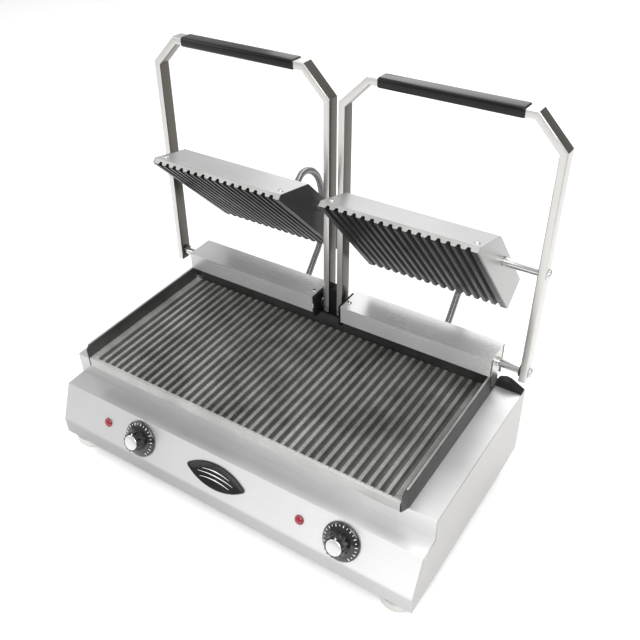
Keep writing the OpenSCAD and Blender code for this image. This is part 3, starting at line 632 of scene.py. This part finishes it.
def dome_nuts(side):
    """Hexagon nuts with domed caps on the ends of the hinge shaft and pivot rod."""
    s = SIDES[side]
    bm = bmesh.new()
    pivot_up = (PIVOT - HINGE).length
    hexagon = [(7.9, 0.0), (8.0, 0.4), (8.0, 1.9), (7.5, 2.2)]
    dome = [(6.2, 2.2), (6.1, 3.0), (5.4, 4.1), (4.0, 4.7), (2.0, 4.95), (0, 5.0)]
    for along, ends in ((0, ((arm_hi.x, 1),)), (pivot_up, ((arm_hi.x, 1), (arm_lo.x, -1)))):
        for x, way in ends:
            place = Matrix.Translation((s * x, 0, along)) @ Matrix.Rotation(way * s * math.pi / 2, 4, "Y")
            add_lathe(bm, [(0, 0)] + [(r * MM, h * MM) for r, h in hexagon] + [(0, 2.2 * MM)], 6, place)
            add_lathe(bm, [(0, 2.0 * MM)] + [(r * MM, h * MM) for r, h in dome], 32, place)
    return make(
        f"{side}_cap_nuts", bm, ["bright_steel"], f"{side}_arm", arm_place,
        [f"{side}_dome_nuts"], 40,
    )


def turned_rod(name, side, node, collar=None):
    """Polished rod with chamfered ends, along X, and a collar where the spring is held."""
    lo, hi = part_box(node)
    body = f"{side}_arm"
    along = 0 if "hinge" in node else (PIVOT - HINGE).length
    r = 6 * MM
    length = hi.x - lo.x
    bm = bmesh.new()

    def chamfered(start, radius, long):
        place = Matrix.Translation((start, 0, along)) @ Matrix.Rotation(math.pi / 2, 4, "Y")
        cut = 0.6 * MM
        flat = radius - cut
        outline = [(0, 0), (flat, 0), (radius, cut), (radius, long - cut), (flat, long), (0, long)]
        add_lathe(bm, outline, 40, place)

    chamfered(lo.x, r, length)
    if collar:
        a, b = sorted(SIDES[side] * c for c in collar)
        chamfered(a, 11 * MM, b - a)
    return make(name, bm, ["bright_steel"], body, arm_place, [node], 30)


# ---- Controls ----


def dial(side):
    """Dial with a wide skirt, scale marks and a fluted hub, and its pointer."""
    x = joints[f"{side}_dial_turn"]["pos_m"][0]
    bm = bmesh.new()
    skirt = [
        (0, 1.0), (26.4, 1.0), (27.0, 1.6), (26.6, 2.6), (24.5, 3.8), (19.5, 5.2), (15.5, 6.2), (0, 6.4),
    ]
    add_lathe(bm, [(r * MM, h * MM) for r, h in skirt], 72)
    flutes, hub_r, hub_top = 12, 14.6, 20.6
    rings = []
    for h, k in ((5.5, 1.03), (7, 1.0), (18.6, 0.95), (20.0, 0.92), (hub_top, 0.84)):
        ring = []
        for i in range(flutes * 6):
            a = 2 * math.pi * i / (flutes * 6)
            r = hub_r * k * (1 + 0.055 * math.cos(flutes * a))
            ring.append(Vector((r * MM * math.cos(a), r * MM * math.sin(a), h * MM)))
        rings.append(ring)
    add_loops(bm, rings)
    marks = 21
    for i in range(marks):
        a = math.radians(-135 + 270 * i / (marks - 1)) + math.pi / 2
        half_long = (1.7 if i % 2 == 0 else 0.9) * MM
        on_skirt = Matrix.Translation((23.2 * MM, 0, 4.15 * MM)) @ Matrix.Rotation(math.radians(19), 4, "Y")
        place = Matrix.Rotation(a, 4, "Z") @ on_skirt
        add_box(bm, (-half_long, -0.45 * MM, -0.3 * MM), (half_long, 0.45 * MM, 0.35 * MM), 1, place)
    add_box(bm, (-0.9 * MM, 11.5 * MM, 18 * MM), (0.9 * MM, 13.9 * MM, 20.7 * MM), 1)
    return make(
        f"{side}_dial_knob", bm, ["dial_black", "mark_white"], f"{side}_knob",
        panel_place(x), [f"{side}_dial"], 40,
    )


def dial_cap(side):
    """Light cap in the middle of the dial's hub, slightly crowned."""
    x = joints[f"{side}_dial_turn"]["pos_m"][0]
    bm = bmesh.new()
    outline = [
        (0, 19.4), (10.6, 19.4), (11.0, 19.8), (11.0, 20.7), (10.4, 21.4), (8.5, 21.8), (4, 21.95), (0, 22.0),
    ]
    add_lathe(bm, [(r * MM, h * MM) for r, h in outline], 48)
    return make(
        f"{side}_dial_button", bm, ["cap_steel"], f"{side}_knob",
        panel_place(x), [f"{side}_dial_cap"], 40,
    )


def lamps():
    """Domed red lamps in thin bright bezels."""
    lo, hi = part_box("indicator_lamps")
    radius = 7 * MM
    bm = bmesh.new()
    for x in (lo.x + radius, hi.x - radius):
        lens = [(0, 0.2), (6.5, 0.2), (6.4, 1.2), (5.9, 2.2), (4.7, 3.2), (2.8, 3.85), (0, 4.1)]
        bezel = [(6.0, 0.05), (7.0, 0.05), (7.0, 0.6), (6.8, 0.9), (6.5, 0.9), (6.0, 0.7), (6.0, 0.05)]
        place = panel_place(x)
        add_lathe(bm, [(r * MM, h * MM) for r, h in lens], 32, place, 0)
        add_lathe(bm, [(r * MM, h * MM) for r, h in bezel], 32, place, 1)
    return make(
        "red_lamps", bm, ["lamp_red", "lamp_rim"], "base", replaces=["indicator_lamps"], sharp=40
    )


def almond(w, h, steps=28):
    """Outline of two arcs that meet in rounded points."""
    r = (w * w + h * h) / (4 * h)
    half = math.asin(w / 2 / r)
    angles = [half * (1 - 2 * i / steps) for i in range(steps + 1)]
    upper = [(r * math.sin(a), r * math.cos(a) - (r - h / 2)) for a in angles]
    lower = [(-x, -y) for x, y in upper[1:-1]]
    return upper + lower


def badge():
    """Almond badge with a raised rim and plain curved lines in place of lettering."""
    lo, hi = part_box("badge_plate")
    x = (lo.x + hi.x) / 2
    w, h = 104 * MM, 38 * MM
    bm = bmesh.new()
    rings = []
    for scale, up in ((1.0, 0.0), (1.0, 1.2), (0.975, 1.9), (0.93, 2.0), (0.90, 1.5)):
        rings.append([Vector((a * scale, b * scale, up * MM)) for a, b in almond(w, h)])
    limit = 49.5 * MM
    for ring in rings:
        for p in ring:
            p.x = max(-limit, min(limit, p.x))
    add_loops(bm, rings)
    for rise, wide in ((8.0, 46), (1.5, 60), (-5.0, 50)):
        steps = 24
        line = []
        for i in range(steps + 1):
            t = -1 + 2 * i / steps
            line.append((t * wide / 2 * MM, (rise - 3.2 * t * t) * MM))
        thick = 0.8 * MM
        rows = [[Vector((a, b + e * thick * (1 - 0.8 * abs(a) / (wide / 2 * MM)), z * MM)) for a, b in line]
                for e, z in ((-1, 1.4), (-1, 1.8), (1, 1.8), (1, 1.4))]
        columns = [[row[i] for row in rows] for i in range(steps + 1)]
        add_loops(bm, columns, mat=1)
    return make(
        "badge", bm, ["badge_black", "mark_white"], "base", panel_place(x), ["badge_plate"], 40
    )


# ---- Small turned and pressed parts ----

SCREW_HEAD = [(0, 2.0), (2.2, 1.95), (3.4, 1.5), (3.95, 0.7), (4.0, 0.0)]


def add_screw(bm, place, length):
    """Domed screw head and its shank, with a flat black cross on the dome in place of a cut cross recess: painted
    shade.
    """
    head = [(r * MM, h * MM) for r, h in SCREW_HEAD]
    shank_r = 2 * MM
    add_lathe(bm, head + [(shank_r, 0), (shank_r, -length), (0, -length)], 32, place)
    # The black cross stands in for the recess's shade: painted shade, not cut into the head.
    for turn in (0, math.pi / 2):
        cross = place @ Matrix.Rotation(turn, 4, "Z")
        add_box(bm, (-2.0 * MM, -0.35 * MM, 1.75 * MM), (2.0 * MM, 0.35 * MM, 2.0 * MM), 1, cross)


def box_screws():
    lo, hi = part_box("box_screws")
    bm = bmesh.new()
    for x in (lo.x + 4 * MM, hi.x - 4 * MM):
        add_screw(bm, Matrix.Translation((x, (lo.y + hi.y) / 2, hi.z - 2 * MM)), 9 * MM)
    return make(
        "hinge_box_screws", bm, ["bright_steel", "black_steel"], "base",
        replaces=["box_screws"], sharp=40,
    )


def head_screws(side):
    """Screws on the head's front slope, near its ends."""
    slope = math.atan2(37.0, 52.5)
    bm = bmesh.new()
    for s in (-1, 1):
        place = Matrix.Translation((
            s * (HEAD_W / 2 - 10 * MM),
            (-102.5 + 12 * math.cos(slope)) * MM,
            (-23.5 + 12 * math.sin(slope)) * MM,
        )) @ rot_x(slope)
        add_screw(bm, place, 6 * MM)
    return make(
        f"{side}_slope_screws", bm, ["bright_steel", "black_steel"], f"{side}_head",
        head_place(side), [f"{side}_head_screws"], 40,
    )


def feet():
    """Turned feet with a soft edge and a hollow for the screw."""
    lo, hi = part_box("feet")
    r = 25 * MM
    outline = [
        (3.2, 17.9), (3.2, 7), (7, 7), (7, 0), (21.5, 0), (23.8, 0.8), (24.8, 2.4), (25, 4), (25, 13.4),
        (24.6, 14.6),
        (23.4, 15), (20.2, 15), (20, 15.2), (20, 17.9), (3.2, 17.9),
    ]
    bm = bmesh.new()
    for x in (lo.x + r, hi.x - r):
        for y in (lo.y + r, hi.y - r):
            add_lathe(bm, [(a * MM, b * MM) for a, b in outline], 56, Matrix.Translation((x, y, lo.z)))
    return make("standing_feet", bm, ["foot_rubber"], "base", None, ["feet"], 40)


# ---- Conduits ----

CONDUIT_R = 5.2 * MM
RING_PITCH = 2.4 * MM
LEFT_LOOP = [
    (-73.5, 341, 166.5), (-74.5, 351, 174.5), (-75.5, 366, 188.7), (-76.5, 381, 203),
    (-79, 393, 220), (-82, 402, 240), (-84, 403.8, 262), (-84, 403.3, 283),
    (-84, 400, 300), (-84, 393, 316), (-84, 380.5, 329.5), (-84, 367, 336.5), (-84, 354, 337.5),
]
RIGHT_LOOP = [
    (168.3, 341, 168.5), (168.5, 349, 178.5), (168.3, 360, 192.3), (168, 372, 206.5),
    (168, 386, 222), (168, 397, 239), (168, 402.7, 256), (168, 403.7, 269), (168, 402, 282),
    (168, 396.2, 291.8), (168, 387, 295.5),
]


def smooth_path(points, step):
    """Points a step apart on a smooth curve through the given ones."""
    fine = []
    last = len(points) - 1
    for i in range(last):
        a, b, c, d = (points[min(max(i + k, 0), last)] for k in (-1, 0, 1, 2))
        for s in range(24):
            t = s / 24
            fine.append(0.5 * (2 * b + (c - a) * t + (2 * a - 5 * b + 4 * c - d) * t * t
                               + (3 * b - a - 3 * c + d) * t ** 3))
    fine.append(points[-1])
    out, carry = [fine[0]], 0.0
    for a, b in zip(fine, fine[1:]):
        length = (b - a).length
        while carry + length >= step and length > 0:
            a = a + (b - a) * ((step - carry) / length)
            out.append(a)
            length = (b - a).length
            carry = 0.0
        carry += length
    return out


def conduit(side, loop, x, local_y, grommet):
    """Ribbed steel conduit from its grommet, behind the head, to the gland, in two halves that are built in place
    and attached to no body.
    """
    place = head_place(side)
    hx = SIDES[side] * HEAD_X
    mouth = (20.5 + (local_y + 50) / 155.5) * MM
    ends = [place @ Vector((x * MM - hx, local_y * MM, mouth + e * MM)) for e in (12, 4, -1.5)]
    start = [at(*grommet), at(grommet[0], grommet[1] + 6, grommet[2] + 0.5)]
    route = smooth_path(start + [at(*p) for p in loop] + ends, RING_PITCH / 4)
    half = len(route) // 2 // 4 * 4
    waves = (1.0, 0.955, 0.9, 0.955)
    made = []
    for name, part, bodies in (
        ("lower", route[: half + 1], ("base", f"{side}_arm")),
        ("upper", route[half:], (f"{side}_arm", f"{side}_head")),
    ):
        bm = bmesh.new()
        rings = []
        for i, p in enumerate(part):
            way = (part[min(i + 1, len(part) - 1)] - part[max(i - 1, 0)]).normalized()
            out = Vector((1, 0, 0)).cross(way).normalized()
            across = way.cross(out)
            r = CONDUIT_R * waves[i % 4]
            rings.append([p + (out * math.cos(a) + across * math.sin(a)) * r
                          for a in (2 * math.pi * k / 20 for k in range(20))])
        add_loops(bm, rings)
        node = [f"{side}_conduit"] if name == "lower" else []
        piece = make(f"{side}_conduit_{name}", bm, ["conduit_steel"], None, None, node, 60)
        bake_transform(piece)
        made.append(piece)
    return made


# ---- Camera, light and floor ----


def studio():
    """Pale floor, white surroundings and soft lights."""
    scene = bpy.context.scene
    scene.view_settings.view_transform = "Standard"
    scene.view_settings.look = "None"
    world = bpy.data.worlds.new("studio")
    world.use_nodes = True
    scene.world = world
    t = world.node_tree
    back = t.nodes["Background"]
    c = t.nodes.new("ShaderNodeTexCoord")
    sep = t.nodes.new("ShaderNodeSeparateXYZ")
    t.links.new(c.outputs["Generated"], sep.inputs[0])
    height = spread(t, sep.outputs["Z"], 0.0, 1.0, -0.2, 1.0)
    sky = shades(t, height, [(0.0, 0.75), (0.25, 0.62), (0.6, 0.85), (1.0, 1.0)])
    t.links.new(sky, back.inputs["Color"])
    back.inputs["Strength"].default_value = 0.75
    mesh = bpy.data.meshes.new("floor")
    half = 6.0
    corners = [(-half, -half, 0), (half, -half, 0), (half, half, 0), (-half, half, 0)]
    mesh.from_pydata(corners, [], [(0, 1, 2, 3)])
    floor = bpy.data.objects.new("floor", mesh)
    scene.collection.objects.link(floor)
    m, ft, s = new_material("floor")
    ft.links.new(shades(ft, noise(ft, 3.0), [(0.3, 0.90), (0.7, 0.93)]), s.inputs["Base Color"])
    s.inputs["Roughness"].default_value = 0.7
    s.inputs["Emission Color"].default_value = (1, 1, 1, 1)
    s.inputs["Emission Strength"].default_value = 0.12
    mesh.materials.append(m)
    target = Vector((0, 0, 0.15))
    for name, where, size, power in (
        ("key", (1.1, -1.4, 1.9), 1.6, 34),
        ("fill", (-2.0, -0.9, 1.3), 1.8, 12),
        ("top", (0.0, 0.6, 2.4), 2.2, 26),
        ("rim", (-0.6, 2.0, 1.4), 1.4, 10),
    ):
        light = bpy.data.lights.new(name, "AREA")
        light.size = size
        light.energy = power
        lamp = bpy.data.objects.new(name, light)
        scene.collection.objects.link(lamp)
        lamp.location = where
        lamp.rotation_euler = (target - Vector(where)).to_track_quat("-Z", "Y").to_euler()


def camera():
    """Camera at the photograph's angle."""
    yaw, pitch, roll = -0.6029, 0.6711, -0.0377
    forward = Vector((math.sin(yaw) * math.cos(pitch), math.cos(yaw) * math.cos(pitch), -math.sin(pitch)))
    right = Vector((math.cos(yaw), -math.sin(yaw), 0))
    up = right.cross(forward)
    c, s = math.cos(roll), math.sin(roll)
    right, up = c * right + s * up, -s * right + c * up
    data = bpy.data.cameras.new("camera")
    data.sensor_width = 36
    data.lens = 45.04
    data.shift_x = 0.0035
    data.shift_y = 0.0263
    cam = bpy.data.objects.new("camera", data)
    bpy.context.scene.collection.objects.link(cam)
    place = Matrix((right, up, -forward)).transposed().to_4x4()
    place.translation = at(529.95, -513.61, 876.33)
    cam.matrix_world = place
    bpy.context.scene.camera = cam


# ---- Build ----


def dress_cad():
    """Materials for the CAD nodes that stay in view."""
    slots = {p["node"]: p["material_slot"] for p in record["subparts"]}
    for name, obj in nodes.items():
        look = EXTRA_LOOK.get(name, slots[name])
        look = look if look in MATERIALS else "zinc_sheet"  # only nodes that a piece replaces
        obj.data.materials.clear()
        obj.data.materials.append(MATERIALS[look])


camera()
studio()
dress_cad()
lower_plate()
lamps()
badge()
box_screws()
feet()
spring_end = 60 + 11 * 5.2 + 4
for side in SIDES:
    arm_frame(side)
    grip(side)
    dome_nuts(side)
    turned_rod(f"{side}_shaft", side, f"{side}_hinge_shaft", (spring_end * MM, (spring_end + 12) * MM))
    turned_rod(f"{side}_rod", side, f"{side}_pivot_rod")
    upper_plate(side)
    head_screws(side)
    dial(side)
    dial_cap(side)
conduit("left", LEFT_LOOP, -84, 10, (-73, 327.2, 163))
conduit("right", RIGHT_LOOP, 168, 60, (168, 327.2, 163))
